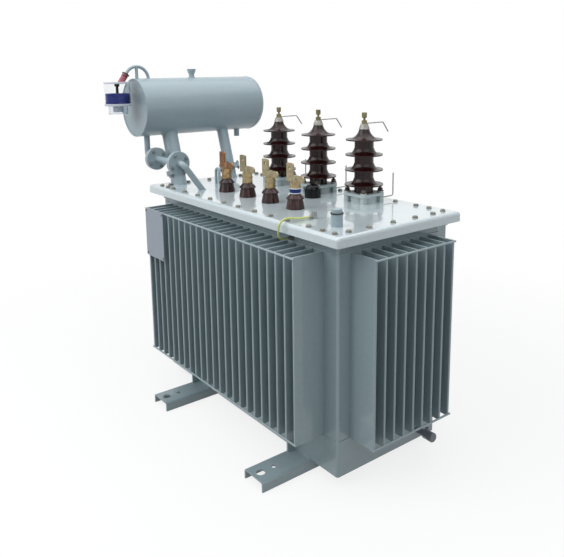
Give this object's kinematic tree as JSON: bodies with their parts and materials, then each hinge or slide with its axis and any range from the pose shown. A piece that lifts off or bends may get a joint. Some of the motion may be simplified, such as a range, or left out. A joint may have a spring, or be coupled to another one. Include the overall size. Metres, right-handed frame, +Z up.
{
  "type": "power transformer",
  "caption": "Oil-filled power transformer with corrugated cooling walls, conservator with silica gel breather, porcelain bushings on the cover and channel skids.",
  "frame": {"origin": "on the ground, under the middle of the whole transformer's outline", "axes": "+Z up; +X along the tank, away from the conservator; -Y towards the low-voltage side with the rating plate panel"},
  "size_m": [1.615, 0.999, 1.5385],
  "materials": {
    "tank_paint": "semi-gloss grey paint, weathered",
    "cover_paint": "glossy light grey paint",
    "conservator_paint": "semi-gloss blue-grey paint",
    "gasket_rubber": "black cork and rubber",
    "rating_plate": "bare plate, dull",
    "valve_metal": "grey-mauve cap on a painted body",
    "hv_glaze": "glossy dark maroon glaze",
    "clamp_metal": "cast, dull",
    "hv_cap_metal": "beige cast cap and fittings",
    "horn_steel": "galvanised",
    "lv_glaze": "glossy brown glaze",
    "lv_brass": "tarnished brass",
    "ring_blue": "glossy blue",
    "knob_black": "moulded black",
    "pocket_metal": "pale painted steel",
    "lead_sheath": "insulated wire",
    "breather_glass": "clear",
    "breather_plastic": "pale moulded plastic",
    "breather_red": "red moulded plastic",
    "breather_cup": "pale translucent plastic",
    "gel_blue": "blue beads"
  },
  "bodies": {
    "root": {"tank_body": "tank_paint", "tank_flange": "tank_paint", "corrugated_wall_front": "tank_paint", "corrugated_wall_back": "tank_paint", "corrugated_wall_left": "tank_paint", "corrugated_wall_right": "tank_paint", "undercarriage_channel_left": "tank_paint", "undercarriage_channel_right": "tank_paint", "cover_plate": "cover_paint", "lifting_lug": "cover_paint", "conservator_shell": "conservator_paint", "conservator_end_front": "conservator_paint", "conservator_end_back": "conservator_paint", "conservator_filler": "conservator_paint", "conservator_drain": "conservator_paint", "conservator_leg_front": "conservator_paint", "conservator_leg_back": "conservator_paint", "conservator_foot_front": "conservator_paint", "conservator_foot_back": "conservator_paint", "riser_pipe": "conservator_paint", "spacer_pipe": "conservator_paint", "cover_pipe": "conservator_paint", "breather_pipe": "conservator_paint", "cover_gasket": "gasket_rubber", "rating_plate_panel": "rating_plate", "drain_valve": "valve_metal", "hv_porcelain_1": "hv_glaze", "hv_porcelain_2": "hv_glaze", "hv_porcelain_3": "hv_glaze", "hv_clamp_1": "clamp_metal", "hv_clamp_2": "clamp_metal", "hv_clamp_3": "clamp_metal", "hv_terminal_1": "hv_cap_metal", "hv_terminal_2": "hv_cap_metal", "hv_terminal_3": "hv_cap_metal", "hv_arcing_horns": "horn_steel", "earth_studs": "horn_steel", "lv_porcelain_1": "lv_glaze", "lv_porcelain_2": "lv_glaze", "lv_porcelain_3": "lv_glaze", "lv_porcelain_4": "lv_glaze", "lv_terminal_1": "lv_brass", "lv_terminal_2": "lv_brass", "lv_terminal_3": "lv_brass", "lv_terminal_4": "lv_brass", "neutral_ring": "ring_blue", "tap_changer_knob": "knob_black", "thermometer_pocket": "pocket_metal", "bonding_lead": "lead_sheath", "breather_glass": "breather_glass", "breather_head": "breather_plastic", "breather_inlet": "breather_red", "breather_cup": "breather_cup", "silica_gel": "gel_blue"}
  },
  "joints": []
}
